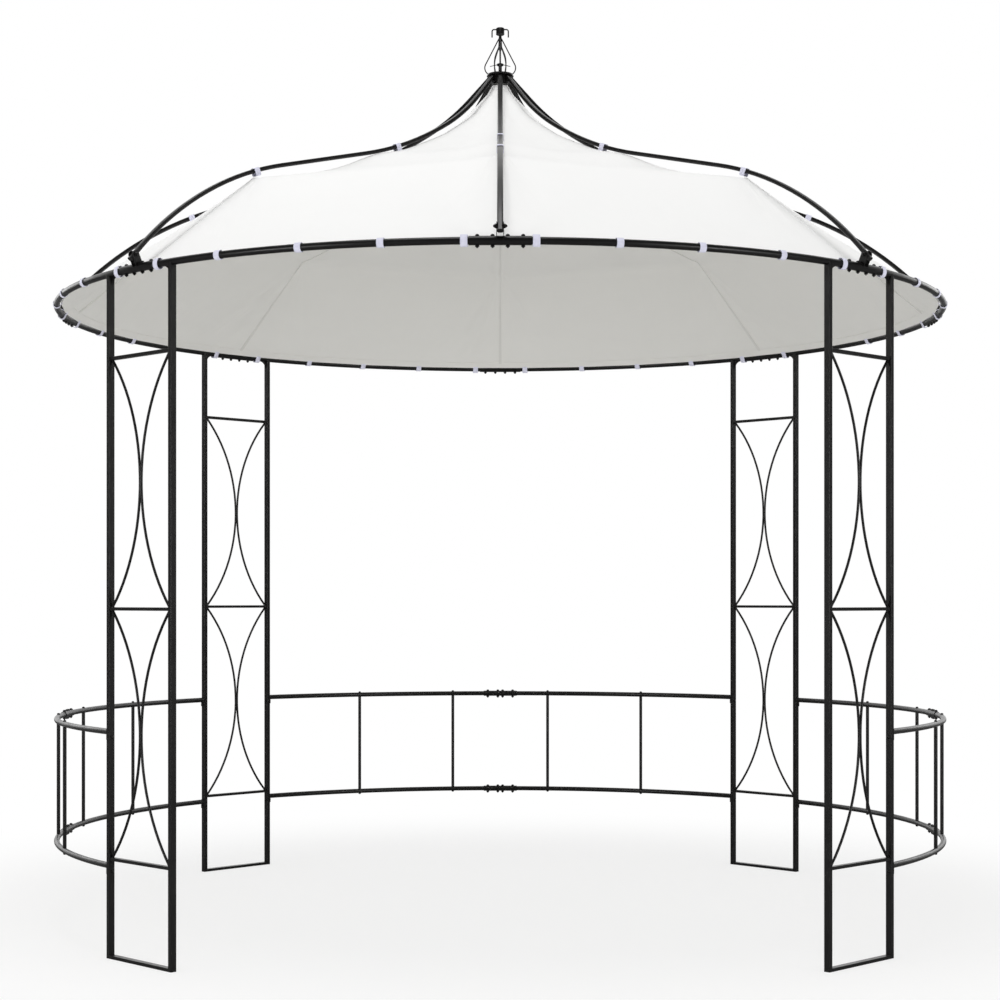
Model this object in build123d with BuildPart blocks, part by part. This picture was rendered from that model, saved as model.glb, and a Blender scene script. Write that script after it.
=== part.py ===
from build123d import *
from math import acos, asin, atan2, cos, degrees, radians, sin, sqrt, tan
import os

os.makedirs("parts", exist_ok=True)

# Round garden gazebo, in mm. The origin is on the ground under the finial, +Z is up,
# and the open entrance faces -Y. Angles turn about Z from the entrance towards +X.

# Whole gazebo
ring_diameter = 3000.0            # over the outside of the eaves ring
ring_tube = 21.0
ring_height = 2031.0              # ground to the middle of the eaves ring
bays = 8                          # ring segments, ribs and canopy gores
columns = 4

# Lattice columns: two posts, four bars and two pairs of bowed rods
post_spacing = 310.0
post_width = 15.0                 # along the ring
post_depth = 20.0                 # across the ring
post_corner = 2.0
foot_bar_height = 10.0
cross_bar_height = 10.0
cross_bar_depth = 16.0
bar_corner = 1.5
lower_bar_share = 0.1452          # height of the lowest cross bar as a share of the ring's height
bow_share = 0.3653                # from cross bar to cross bar, as the same share
bow_rod = 8.0
bow_weld = 1.0                    # overlap of two bowed rods where they are welded

# Where a post meets the ring
stub_drop = 8.0                   # stub below the ring's tube
gusset_height = 30.0
gusset_reach = 24.0
gusset_thickness = 5.0

# Bolted joints in the ring, each with a fork that takes the foot of a rib
sleeve_diameter = 25.5
sleeve_length = 170.0
fork_plate = 2.0
fork_width = 24.0
fork_rise = 36.0                  # ring to the fork's bolt
fork_lean = 16.0                  # fork's bolt beyond the middle of the ring

# Ribs, from the hub over two hollow curves, a straight shoulder and a swelling curve to the eaves
rib_width = 17.0
rib_depth = 13.0
rib_corner = 4.5
rib_neck_bend = 8.0
rib_neck_angle = 48.0             # fall of the rib below the hub
rib_hollow_angle = 32.0           # fall where the two hollow curves meet
rib_shoulder_angle = 14.9         # fall of the straight shoulder
# Shares of the ring's radius: where the hollow and the swelling start, and the bends
neck_run_share = 0.0692
upper_hollow_share = 0.4632
lower_hollow_share = 0.8949
swell_start_share = 0.6445
swell_bend_share = 0.7274
rib_end = 20.0                    # rib beyond the fork's bolt

# Hub that gathers the ribs
hub_width = 66.0                  # across the flats of the eight-sided block
hub_height = 22.0
hub_plate_diameter = 92.0
hub_plate_height = 4.0
hub_plate_edge = 1.5
hub_collar_diameter = 52.0
hub_collar_height = 6.0

# Finial: two wire cages round a turned spindle, a cap, four hooks and four spurs
finial_height = 163.0
finial_wire = 4.0
foot_disc_diameter = 88.0
foot_disc_height = 3.0
boss_diameter = 12.0
knop_diameter = 24.0
knop_level = 33.0
knop_height = 7.0
knop_edge = 2.0
spindle_diameter = 6.0
neck_diameter = 14.0
neck_top_diameter = 10.0
neck_level = 96.0
neck_height = 36.0
cap_diameter = 29.0
cap_height = 24.0
cap_edge = 2.0
cage_belly = 53.0                 # radius of the outer cage at its widest
cage_belly_height = 26.0
cage_bend = 26.0
cage_neck_height = 129.0
inner_cage_belly = 28.0
inner_cage_belly_height = 36.0
inner_cage_bend = 80.0
inner_cage_neck_height = 104.0
cage_wires = 4
hook_reach = 28.0
hook_drop = 20.0                  # straight length below the bend
hook_bend = 7.0
hook_wire = 4.5
hook_level = 5.0                  # below the top of the cap
spur_reach = 35.0
spur_level = 39.0                 # where a spur leaves the spindle, above the foot disc
spur_drop = 8.0
spur_wire = 2.5

# Canopy, a tent of eight gores strapped below the ribs
cloth = 3.0                       # stands for thin coated cloth
gore_gap = 1.0
gore_strips = 5
canopy_hem_clearance = 3.0        # hem inside the ring's tube
canopy_hem_height = 4.0           # hem above the middle of the ring
# Ridge of a gore from the hub outwards, as shares of the hem's radius, and the gap that the
# cloth leaves below the rib there. The last share is the hem's own.
ridge_radius_shares = (0.0203, 0.0312, 0.092, 0.170, 0.310, 0.390, 0.498, 0.619, 0.724, 0.862, 1.0)
ridge_gaps = (20.0, 41.0, 37.0, 21.0, 10.0, 1.0, 26.0, 32.0, 10.5, 60.0)
# How far each level follows the round ring rather than the straight line between ribs
round_shares = (0.0, 0.0, 0.0, 0.0, 0.0, 0.0, 0.0, 0.0, 0.0, 0.5, 1.0)

# Railings in the three closed bays
rail_tube = 18.0
top_rail_height = 672.0
bottom_rail_height = 274.0
rail_sleeve = 22.0
rail_sleeve_length = 138.0
tab_thickness = 4.0
tab_drop = 25.0
tab_rise = 9.0
tab_width = 15.0
baluster = 12.0
baluster_step = 15.3              # degrees between balusters
balusters = 4
clearance = 0.3

# Sizes that follow
ring_radius = ring_diameter / 2 - ring_tube / 2
rib_neck_run = ring_radius * neck_run_share
rib_upper_hollow = ring_radius * upper_hollow_share
rib_lower_hollow = ring_radius * lower_hollow_share
rib_swell_start = ring_radius * swell_start_share
rib_swell_bend = ring_radius * swell_bend_share
lower_bar_height = ring_height * lower_bar_share
bow_height = ring_height * bow_share
bay_angle = 360 / bays
column_angle = 360 / columns
column_radius = sqrt(ring_radius**2 - (post_spacing / 2) ** 2)
post_inside = post_spacing / 2 - post_width / 2
post_top = ring_height - ring_tube / 2 - stub_drop
ring_lap = degrees(sleeve_length / 2 / ring_radius)
side_names = ("front", "front_right", "right", "back_right", "back", "back_left", "left", "front_left")


def tube_arc(bend_radius, level, diameter, start, arc):
    """Round tube bent about the Z axis, from one angle on through an arc."""
    with BuildPart() as bent:
        with BuildSketch(Plane.YZ):
            with Locations((-bend_radius, level)):
                Circle(diameter / 2)
        revolve(axis=Axis.Z, revolution_arc=arc)
    return Rot(0, 0, start) * bent.part


def save(solid, name):
    """Labels a piece and writes its STEP file."""
    solid.label = name
    export_step(solid, f"parts/{name}.step")


# Column, built in front of the origin and turned to its place
column_plane = Plane.XZ.offset(column_radius)
with BuildPart() as column:
    with BuildSketch(Plane.XY.offset(foot_bar_height)):
        with Locations((-post_spacing / 2, -column_radius), (post_spacing / 2, -column_radius)):
            RectangleRounded(post_width, post_depth, post_corner)
    extrude(amount=post_top - foot_bar_height)
    with BuildSketch(Plane.XY):
        with Locations((0, -column_radius)):
            RectangleRounded(post_spacing + post_width, post_depth, post_corner)
    extrude(amount=foot_bar_height)
    for level in range(3):
        with BuildSketch(Plane.YZ):
            with Locations((-column_radius, lower_bar_height + level * bow_height)):
                RectangleRounded(cross_bar_depth, cross_bar_height, bar_corner)
        extrude(amount=post_inside + post_width / 2, both=True)
    bow_middle = bow_rod / 2 - bow_weld / 2
    for tier in range(2):
        bow_foot = lower_bar_height + tier * bow_height
        for side in (-1, 1):
            with BuildLine(column_plane):
                bow = ThreePointArc(
                    (side * post_inside, bow_foot),
                    (side * bow_middle, bow_foot + bow_height / 2),
                    (side * post_inside, bow_foot + bow_height),
                )
            with BuildSketch(Plane(origin=bow @ 0, z_dir=bow % 0)):
                Circle(bow_rod / 2)
            sweep(path=bow)

# Ring segment: tube with the stub and gusset that carry one post of a column
segment_tube = tube_arc(ring_radius, ring_height, ring_tube, ring_lap - bay_angle, bay_angle - 2 * ring_lap)
with BuildPart() as segment:
    add(segment_tube)
    with BuildSketch(Plane.XY.offset(post_top)):
        with Locations((-post_spacing / 2, -column_radius)):
            RectangleRounded(post_width, post_depth, post_corner)
    extrude(amount=ring_height - post_top)
    with BuildSketch(column_plane):
        with BuildLine():
            corner = (-post_inside, ring_height)
            gusset_foot = (-post_inside, ring_height - ring_tube / 2 - gusset_height)
            gusset_tip = (-post_inside + gusset_reach, ring_height - ring_tube / 2)
            gusset_top = (-post_inside + gusset_reach, ring_height)
            Polyline(gusset_tip, gusset_top, corner, gusset_foot)
            TangentArc(gusset_foot, gusset_tip, tangent=(0, 1))
        make_face()
    extrude(amount=gusset_thickness / 2, both=True)

# Ring joint: sleeve with a fork of two plates on top
sleeve = tube_arc(ring_radius, ring_height, sleeve_diameter, -ring_lap, 2 * ring_lap)
fork_length = sqrt(fork_rise**2 + fork_lean**2)
fork_plane = Plane(
    origin=(0, -ring_radius, ring_height), x_dir=(0, -fork_lean, fork_rise), z_dir=(1, 0, 0)
)
with BuildPart() as joint:
    add(sleeve)
    for side in (-1, 1):
        with BuildSketch(fork_plane.offset(side * (rib_width + fork_plate) / 2)):
            with Locations((fork_length / 2, 0)):
                SlotCenterToCenter(fork_length, fork_width)
        extrude(amount=fork_plate / 2, both=True)

# Rib, laid out with its radius along -Y and its foot on the fork's bolt
radial_plane = Plane(origin=(0, 0, 0), x_dir=(0, -1, 0), z_dir=(-1, 0, 0))
neck = radians(rib_neck_angle)
hollow = radians(rib_hollow_angle)
shoulder = radians(rib_shoulder_angle)
foot_radius = ring_radius + fork_lean
foot_level = ring_height + fork_rise
foot_angle = degrees(asin(sin(shoulder) + (foot_radius - rib_swell_start) / rib_swell_bend))
foot = radians(foot_angle)
swell_level = foot_level + rib_swell_bend * (cos(shoulder) - cos(foot))
middle_radius = rib_neck_run + rib_upper_hollow * (sin(neck) - sin(hollow))
hollow_radius = middle_radius + rib_lower_hollow * (sin(hollow) - sin(shoulder))
hollow_level = swell_level + (rib_swell_start - hollow_radius) * tan(shoulder)
middle_level = hollow_level + rib_lower_hollow * (cos(shoulder) - cos(hollow))
neck_foot_level = middle_level + rib_upper_hollow * (cos(hollow) - cos(neck))
bend_radius = hub_width / 2 + rib_neck_bend * sin(neck)
bend_level = neck_foot_level + (rib_neck_run - bend_radius) * tan(neck)
hub_level = bend_level + rib_neck_bend * (1 - cos(neck))
with BuildPart() as rib:
    with BuildLine(radial_plane) as rib_line:
        bend = JernArc((hub_width / 2, hub_level), (1, 0), rib_neck_bend, -rib_neck_angle)
        Line((bend_radius, bend_level), (rib_neck_run, neck_foot_level))
        JernArc(
            (rib_neck_run, neck_foot_level),
            (cos(neck), -sin(neck)),
            rib_upper_hollow,
            rib_neck_angle - rib_hollow_angle,
        )
        JernArc(
            (middle_radius, middle_level),
            (cos(hollow), -sin(hollow)),
            rib_lower_hollow,
            rib_hollow_angle - rib_shoulder_angle,
        )
        Line((hollow_radius, hollow_level), (rib_swell_start, swell_level))
        JernArc(
            (rib_swell_start, swell_level),
            (cos(shoulder), -sin(shoulder)),
            rib_swell_bend,
            rib_shoulder_angle - foot_angle,
        )
        Line(
            (foot_radius, foot_level),
            (foot_radius + rib_end * cos(foot), foot_level - rib_end * sin(foot)),
        )
    with BuildSketch(Plane(origin=rib_line.line @ 0, x_dir=(1, 0, 0), z_dir=(0, -1, 0))):
        RectangleRounded(rib_width, rib_depth, rib_corner)
    sweep(path=rib_line.wire())

# Hub: eight-sided block that the ribs butt against, with a collar below and a plate above
hub_top = hub_level + rib_depth / 2
with BuildPart() as hub:
    with BuildSketch(Plane.XY.offset(hub_top - hub_height)):
        RegularPolygon(hub_width / 2, bays, major_radius=False, rotation=bay_angle / 2)
    extrude(amount=hub_height)
    with BuildSketch(Plane.XY.offset(hub_top - hub_height)):
        Circle(hub_collar_diameter / 2)
    extrude(amount=-hub_collar_height)
    with BuildSketch(Plane.XY.offset(hub_top)):
        Circle(hub_plate_diameter / 2)
    extrude(amount=hub_plate_height)
    chamfer(hub.edges().group_by(Axis.Z)[-1], hub_plate_edge)

# Finial: turned spindle first, then the wires
finial_base = hub_top + hub_plate_height
cap_base = finial_height - cap_height


def cage_wire(belly, belly_height, bend, neck_height, angle):
    """One wire of a cage: an arc round the belly and a straight run to the neck."""
    middle = belly - bend
    reach = spindle_diameter / 2 - middle
    climb = neck_height - belly_height
    shoulder_angle = degrees(atan2(climb, reach) - acos(bend / sqrt(reach**2 + climb**2)))
    start_angle = -degrees(asin((belly_height - foot_disc_height) / bend))
    plane = Plane(
        origin=(0, 0, finial_base),
        x_dir=(sin(radians(angle)), -cos(radians(angle)), 0),
        z_dir=(-cos(radians(angle)), -sin(radians(angle)), 0),
    )
    with BuildPart() as wire:
        with BuildLine(plane) as wire_line:
            belly_arc = CenterArc((middle, belly_height), bend, start_angle, shoulder_angle - start_angle)
            Line(
                (
                    middle + bend * cos(radians(shoulder_angle)),
                    belly_height + bend * sin(radians(shoulder_angle)),
                ),
                (spindle_diameter / 2, neck_height),
            )
        with BuildSketch(Plane(origin=belly_arc @ 0, z_dir=belly_arc % 0)):
            Circle(finial_wire / 2)
        sweep(path=wire_line.wire())
    return wire.part


with BuildPart() as hook:
    with BuildLine(radial_plane) as hook_line:
        hook_z = finial_base + finial_height - hook_level
        Line((0, hook_z), (hook_reach - hook_bend, hook_z))
        JernArc((hook_reach - hook_bend, hook_z), (1, 0), hook_bend, -90)
        Line((hook_reach, hook_z - hook_bend), (hook_reach, hook_z - hook_bend - hook_drop))
    with BuildSketch(Plane(origin=(0, 0, hook_z), z_dir=(0, -1, 0))):
        Circle(hook_wire / 2)
    sweep(path=hook_line.wire())

with BuildPart() as spur:
    with BuildLine(radial_plane) as spur_line:
        spur_z = finial_base + spur_level
        Line((0, spur_z), (spur_reach, spur_z - spur_drop))
    with BuildSketch(Plane(origin=spur_line.line @ 0, z_dir=spur_line.line % 0)):
        Circle(spur_wire / 2)
    sweep(path=spur_line.wire())

wire_step = 360 / cage_wires
outer_wires = [
    cage_wire(cage_belly, cage_belly_height, cage_bend, cage_neck_height, i * wire_step)
    for i in range(cage_wires)
]
inner_wires = [
    cage_wire(
        inner_cage_belly,
        inner_cage_belly_height,
        inner_cage_bend,
        inner_cage_neck_height,
        (i + 0.5) * wire_step,
    )
    for i in range(cage_wires)
]
with BuildPart() as finial:
    with BuildSketch(radial_plane):
        with BuildLine():
            Polyline(
                (0, finial_base),
                (foot_disc_diameter / 2, finial_base),
                (foot_disc_diameter / 2, finial_base + foot_disc_height),
                (boss_diameter / 2, finial_base + foot_disc_height),
                (boss_diameter / 2, finial_base + knop_level),
                (knop_diameter / 2 - knop_edge, finial_base + knop_level),
                (knop_diameter / 2, finial_base + knop_level + knop_edge),
                (knop_diameter / 2, finial_base + knop_level + knop_height - knop_edge),
                (knop_diameter / 2 - knop_edge, finial_base + knop_level + knop_height),
                (spindle_diameter / 2, finial_base + knop_level + knop_height),
                (spindle_diameter / 2, finial_base + neck_level - neck_diameter),
                (neck_diameter / 2, finial_base + neck_level),
                (neck_top_diameter / 2, finial_base + neck_level + neck_height),
                (neck_top_diameter / 2, finial_base + cap_base),
                (cap_diameter / 2 - cap_edge, finial_base + cap_base),
                (cap_diameter / 2, finial_base + cap_base + cap_edge),
                (cap_diameter / 2, finial_base + finial_height - cap_edge),
                (cap_diameter / 2 - cap_edge, finial_base + finial_height),
                (0, finial_base + finial_height),
                close=True,
            )
        make_face()
    revolve(axis=Axis.Z)
    add(outer_wires)
    add(inner_wires)
    for i in range(cage_wires):
        add(Rot(0, 0, i * wire_step) * hook.part)
        add(Rot(0, 0, i * wire_step) * spur.part)

# Canopy: one gore of thin cloth in front of the origin, then copies round the ring
hem_radius = ring_radius - ring_tube / 2 - canopy_hem_clearance
hem_level = ring_height + canopy_hem_height
half_gore = bay_angle / 2
half_gore_cos = cos(radians(half_gore))


def rib_height(radius):
    """Height of the middle of a rib at a radius, from the hub to the fork."""
    if radius < bend_radius:
        run = max(radius - hub_width / 2, 0)
        return hub_level - rib_neck_bend + sqrt(rib_neck_bend**2 - run**2)
    if radius < rib_neck_run:
        return neck_foot_level + (rib_neck_run - radius) * tan(neck)
    if radius < middle_radius:
        run = rib_neck_run + rib_upper_hollow * sin(neck) - radius
        return neck_foot_level + rib_upper_hollow * cos(neck) - sqrt(rib_upper_hollow**2 - run**2)
    if radius < hollow_radius:
        run = middle_radius + rib_lower_hollow * sin(hollow) - radius
        return middle_level + rib_lower_hollow * cos(hollow) - sqrt(rib_lower_hollow**2 - run**2)
    if radius < rib_swell_start:
        return swell_level + (rib_swell_start - radius) * tan(shoulder)
    run = radius - rib_swell_start + rib_swell_bend * sin(shoulder)
    return swell_level - rib_swell_bend * cos(shoulder) + sqrt(rib_swell_bend**2 - run**2)


def gore_point(level, turn):
    """Point of a gore at a level, turned from the gore's middle by a share of its half angle."""
    angle = radians(half_gore * turn)
    radius = hem_radius * ridge_radius_shares[level]
    height = hem_level
    if level < len(ridge_gaps):
        height = rib_height(radius) - (rib_depth + cloth) / 2 - ridge_gaps[level]
    blend = round_shares[level]
    radius *= blend + (1 - blend) * half_gore_cos / cos(angle)
    return Vector(radius * sin(angle), -radius * cos(angle), height)


def gore_plane(level, first, last):
    """Upright plane across a gore between two turns, and the width between them."""
    near = gore_point(level, first)
    far = gore_point(level, last)
    across = far - near
    plane = Plane(origin=(near + far) / 2, x_dir=across, z_dir=(across.Y, -across.X, 0))
    return plane, across.length


levels = len(ridge_radius_shares)
flat_levels = round_shares.count(0)
with BuildPart() as gore:
    for level in range(flat_levels):
        plane, width = gore_plane(level, -1, 1)
        with BuildSketch(plane):
            Rectangle(width - gore_gap, cloth)
    loft(ruled=True)
    for strip in range(gore_strips):
        first = 2 * strip / gore_strips - 1
        last = first + 2 / gore_strips
        for level in range(flat_levels - 1, levels):
            plane, width = gore_plane(level, first, last)
            with BuildSketch(plane):
                Rectangle(width, cloth)
        loft(ruled=True)
    for side in (-1, 1):
        with BuildSketch(Plane.XY.offset(hem_level - cloth)):
            with Locations(Rot(0, 0, side * half_gore)):
                with Locations((0, -ring_radius / 2)):
                    Rectangle(gore_gap, ring_radius)
        extrude(amount=hub_level - hem_level, mode=Mode.SUBTRACT)
with BuildPart() as canopy:
    for bay in range(bays):
        add(Rot(0, 0, (bay + 0.5) * bay_angle) * gore.part)

# Railing pieces, built beside a column that stands in front of the origin
tab_middle = post_spacing / 2 + post_width / 2 + tab_thickness / 2
rail_start = degrees(asin(tab_middle / ring_radius))
rail_lap = degrees(rail_sleeve_length / 2 / ring_radius)
rail_arc = bay_angle - rail_start - rail_lap


def half_rail(level):
    """Half of a rail: bent tube with the bolting tab at the post."""
    tube = tube_arc(ring_radius, level, rail_tube, rail_lap - bay_angle, rail_arc)
    with BuildPart() as half:
        add(tube)
        with BuildSketch(Plane.YZ.offset(-tab_middle)):
            with Locations((-column_radius, level + (tab_rise - tab_drop) / 2)):
                RectangleRounded(tab_width, tab_rise + tab_drop, post_corner)
        extrude(amount=tab_thickness / 2, both=True)
    return half.part


def whole_rail(level):
    """Both halves of a rail, round the bay in front of the origin."""
    half = half_rail(level)
    with BuildPart() as rail:
        add(Rot(0, 0, bay_angle) * half)
        add(Rot(0, 0, -bay_angle) * mirror(half, about=Plane.YZ, mode=Mode.PRIVATE))
    return rail.part


top_rail = whole_rail(top_rail_height)
bottom_rail = whole_rail(bottom_rail_height)
rail_levels = (top_rail_height, bottom_rail_height)
rail_joints = [tube_arc(ring_radius, z, rail_sleeve, -rail_lap, 2 * rail_lap) for z in rail_levels]
rail_seats = [
    tube_arc(ring_radius, z, rail_tube + 2 * clearance, -bay_angle, 2 * bay_angle) for z in rail_levels
]
with BuildPart() as sleeves:
    add(rail_joints)
with BuildPart() as pickets:
    with BuildSketch(Plane.XY.offset(bottom_rail_height)):
        for i in range(balusters):
            with Locations(Rot(0, 0, (i - (balusters - 1) / 2) * baluster_step)):
                with Locations((0, -ring_radius)):
                    Circle(baluster / 2)
    extrude(amount=top_rail_height - bottom_rail_height)
    add(rail_seats, mode=Mode.SUBTRACT)

# Every piece in its place
for i in range(columns):
    turn = bay_angle + i * column_angle
    place = Rot(0, 0, turn)
    name = side_names[2 * i + 1]
    save(place * column.part, f"column_{name}")
    save(place * segment.part, f"ring_segment_{name}_a")
    save(place * mirror(segment.part, about=Plane.YZ), f"ring_segment_{name}_b")
for i in range(bays):
    place = Rot(0, 0, i * bay_angle)
    save(place * joint.part, f"ring_joint_{side_names[i]}")
    save(place * rib.part, f"rib_{side_names[i]}")
save(hub.part, "hub")
save(finial.part, "finial")
save(canopy.part, "canopy")
for i in (2, 4, 6):
    place = Rot(0, 0, i * bay_angle)
    name = side_names[i]
    save(place * top_rail, f"{name}_top_rail")
    save(place * bottom_rail, f"{name}_bottom_rail")
    save(place * pickets.part, f"{name}_balusters")
    save(place * sleeves.part, f"{name}_rail_joints")
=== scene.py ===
"""Dresses a round garden gazebo: powder coated frame, cloth canopy, straps, fasteners and studio."""

import math

import bmesh
import bpy
from bpy.props import FloatProperty, FloatVectorProperty, PointerProperty
from bpy.types import Operator, Panel, PropertyGroup
from mathutils import Matrix, Vector


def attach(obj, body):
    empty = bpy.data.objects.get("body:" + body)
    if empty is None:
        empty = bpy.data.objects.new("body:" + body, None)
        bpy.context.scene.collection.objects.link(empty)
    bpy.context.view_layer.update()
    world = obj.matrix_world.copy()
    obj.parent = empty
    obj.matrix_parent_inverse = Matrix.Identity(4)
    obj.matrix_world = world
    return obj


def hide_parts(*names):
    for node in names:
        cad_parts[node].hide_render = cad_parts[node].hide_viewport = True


bl_info = {
    "name": "Round Garden Gazebo",
    "version": (1, 0, 0),
    "blender": (4, 5, 0),
    "location": "View3D > Sidebar > Gazebo",
    "description": "Dresses the gazebo frame with its canopy, straps, fasteners and finishes",
    "category": "Object",
}

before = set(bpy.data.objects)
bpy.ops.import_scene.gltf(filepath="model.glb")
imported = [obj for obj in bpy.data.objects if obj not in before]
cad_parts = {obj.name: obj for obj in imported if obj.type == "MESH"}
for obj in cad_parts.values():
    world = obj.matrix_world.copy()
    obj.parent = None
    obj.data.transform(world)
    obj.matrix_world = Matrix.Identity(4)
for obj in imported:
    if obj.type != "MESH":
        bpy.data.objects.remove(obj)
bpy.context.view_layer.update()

# Ridge of the canopy under a rib, as radius and height in metres, from the hub to the hem.
# The first run hangs from the hub to the lower rib strap, the second runs on to the ring.
UPPER_RIDGE = (
    (0.028, 2.829), (0.036, 2.815), (0.046, 2.800), (0.106, 2.738), (0.136, 2.706), (0.251, 2.632),
    (0.314, 2.600), (0.458, 2.538), (0.576, 2.505), (0.735, 2.437), (0.912, 2.384), (1.020, 2.362),
    (1.069, 2.355),
)
LOWER_RIDGE = ((1.069, 2.355), (1.476, 2.035))
BAYS = 8  # gores, ribs and ring segments
BAY_DEGREES = 45
RAILED_BAYS = (2, 4, 6)  # joints in the middle of the right, back and left railings
STILL = Matrix.Identity(4)
# Ring straps of one segment, in degrees from the joint at its start
STRAP_TURNS = (4.0, 13.25, 22.5, 31.75, 41.0)
STRAP_STEP = 9.25
# Ring straps of the two front segments, in degrees from the front joint, as the photo shows them
FRONT_TURNS = (3.75, 12.55, 21.8, 32.05, 41.4)
# Rib straps, as radius, height of the middle of the rib and its fall in degrees
RIB_STRAPS = ((0.478, 2.5478, 21.1), (1.060, 2.3792, 20.5))

# Grid of the cloth: points round the canopy, and rows along the two runs of the ridge
AROUND = 320
UPPER_ROWS, LOWER_ROWS = 34, 22
# Weave pattern: step from gore to gore and run from crown to hem, in metres
GORE_STEP, PATTERN_RUN = 1.3, 1.75
# Rows of the hem, counted up from its edge, of the crown's binding, and of the stitches on both
HEM_ROWS, HEM_STITCHES = (1.3, 0.6, 0), (1.15, 0.2)
CROWN_ROWS, CROWN_STITCH = (0, 0.25, 0.5), 0.35
# Places across a ridge, in metres, of the seam's welt and stitches and of a strap's patch
WELT_SIDES = (-0.006, -0.003, 0, 0.003, 0.006)
SEAM_STITCHES = (-0.005, 0.005)
PATCH_SIDES = (-0.020, -0.010, 0, 0.010, 0.020)
PATCH_STEPS = tuple(step * 0.25 for step in range(-3, 4))  # rows along the ridge
# Sewn layers, as the distances of their two faces from the outside of the cloth
HEM_LAYER = (-0.0004, 0.0008)
HEM_FOLD_LAYER = (-0.0020, -0.0005)
CROWN_LAYER = (-0.0018, 0.0008)
WELT_LAYER = (-0.0030, -0.0006)
PATCH_LAYER = (-0.0006, 0.0009)

# Ring strap: its two ends from the hem's edge, and the oval loop round the tube, turned in degrees
STRAP_LEAD = ((-0.010, 0.0095), (-0.004, 0.0085))
STRAP_TAIL = (-0.006, 0.0030)
LOOP_HALF_WIDTH = 0.0122
LOOP_START, LOOP_SWEEP, LOOP_STEPS = 135, 300, 24

# Bolts along a ring sleeve and a rail sleeve, from the middle, and the sleeves' radii
RING_BOLTS, RING_SLEEVE = (-0.062, -0.0205, 0.0205, 0.062), 0.01275
RAIL_BOLTS, RAIL_SLEEVE = (-0.052, -0.010, 0.010, 0.052), 0.011
# Bolt of a rib's fork, beyond and above the middle of the ring's tube
FORK_LEAN, FORK_RISE = 0.016, 0.036
BALUSTERS = (-1.5, -0.5, 0.5, 1.5)  # in steps from the middle of a bay
# Bolts of a rail's tab: its face and the post's other face, from the middle of the column, and
# their drop below the rail
TAB_FACE, POST_FACE, TAB_DROP = 0.1665, 0.1475, 0.016


def strap_turns(bay):
    """Ring straps of a segment, in degrees from the joint at its start."""
    if bay % BAYS == 0:
        return FRONT_TURNS
    if bay % BAYS == BAYS - 1:
        return tuple(BAY_DEGREES - turn for turn in reversed(FRONT_TURNS))
    return STRAP_TURNS


def linear(hex_colour):
    """sRGB hex as the linear colour that a shader takes."""
    parts = [int(hex_colour[i:i + 2], 16) / 255 for i in (1, 3, 5)]
    return tuple(p / 12.92 if p <= 0.04045 else ((p + 0.055) / 1.055) ** 2.4 for p in parts)


class GazeboSizes(PropertyGroup):
    """Sizes of the soft and small pieces."""

    ring_radius: FloatProperty(
        name="Ring radius", description="Axis to the middle of the eaves tube", default=1.4895, unit="LENGTH"
    )
    ring_height: FloatProperty(
        name="Ring height", description="Ground to the middle of the eaves tube", default=2.031, unit="LENGTH"
    )
    cloth_thickness: FloatProperty(
        name="Cloth", description="Thickness of the coated cloth", default=0.0008, unit="LENGTH"
    )
    gore_sag: FloatProperty(
        name="Gore sag", description="Depth of a gore's hollow between two ribs", default=0.012, unit="LENGTH"
    )
    fan_share: FloatProperty(
        name="Fan", description="Part of a gore's hem that a fan takes on each side",
        default=0.24, min=0.1, max=0.4, subtype="FACTOR",
    )
    fan_dip: FloatProperty(
        name="Fan dip", description="Depth of the valley between a fan and the facet beside it",
        default=0.012, unit="LENGTH",
    )
    fold_depth: FloatProperty(
        name="Folds", description="Depth of the pulled folds beside a rib's foot",
        default=0.002, unit="LENGTH",
    )
    hem_scallop: FloatProperty(
        name="Hem scallop", description="How far the hem draws in between two straps",
        default=0.004, unit="LENGTH",
    )
    strap_width: FloatProperty(
        name="Strap width", description="Width of the webbing", default=0.020, unit="LENGTH"
    )
    strap_thickness: FloatProperty(
        name="Strap thickness", description="Thickness of the webbing", default=0.0014, unit="LENGTH"
    )
    stitch_pitch: FloatProperty(
        name="Stitch pitch", description="Spacing of the stitches, drawn coarse", default=0.010, unit="LENGTH"
    )
    rail_radius: FloatProperty(
        name="Rail radius", description="Radius of a rail's tube", default=0.009, unit="LENGTH"
    )
    column_radius: FloatProperty(
        name="Column radius", description="Axis to the middle of a column", default=1.4814, unit="LENGTH"
    )
    top_rail: FloatProperty(
        name="Top rail", description="Height of the top rail", default=0.672, unit="LENGTH"
    )
    bottom_rail: FloatProperty(
        name="Bottom rail", description="Height of the bottom rail", default=0.274, unit="LENGTH"
    )
    baluster_step: FloatProperty(
        name="Baluster step",
        description="Angle between balusters",
        default=math.radians(15.3),
        subtype="ANGLE",
    )


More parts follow.
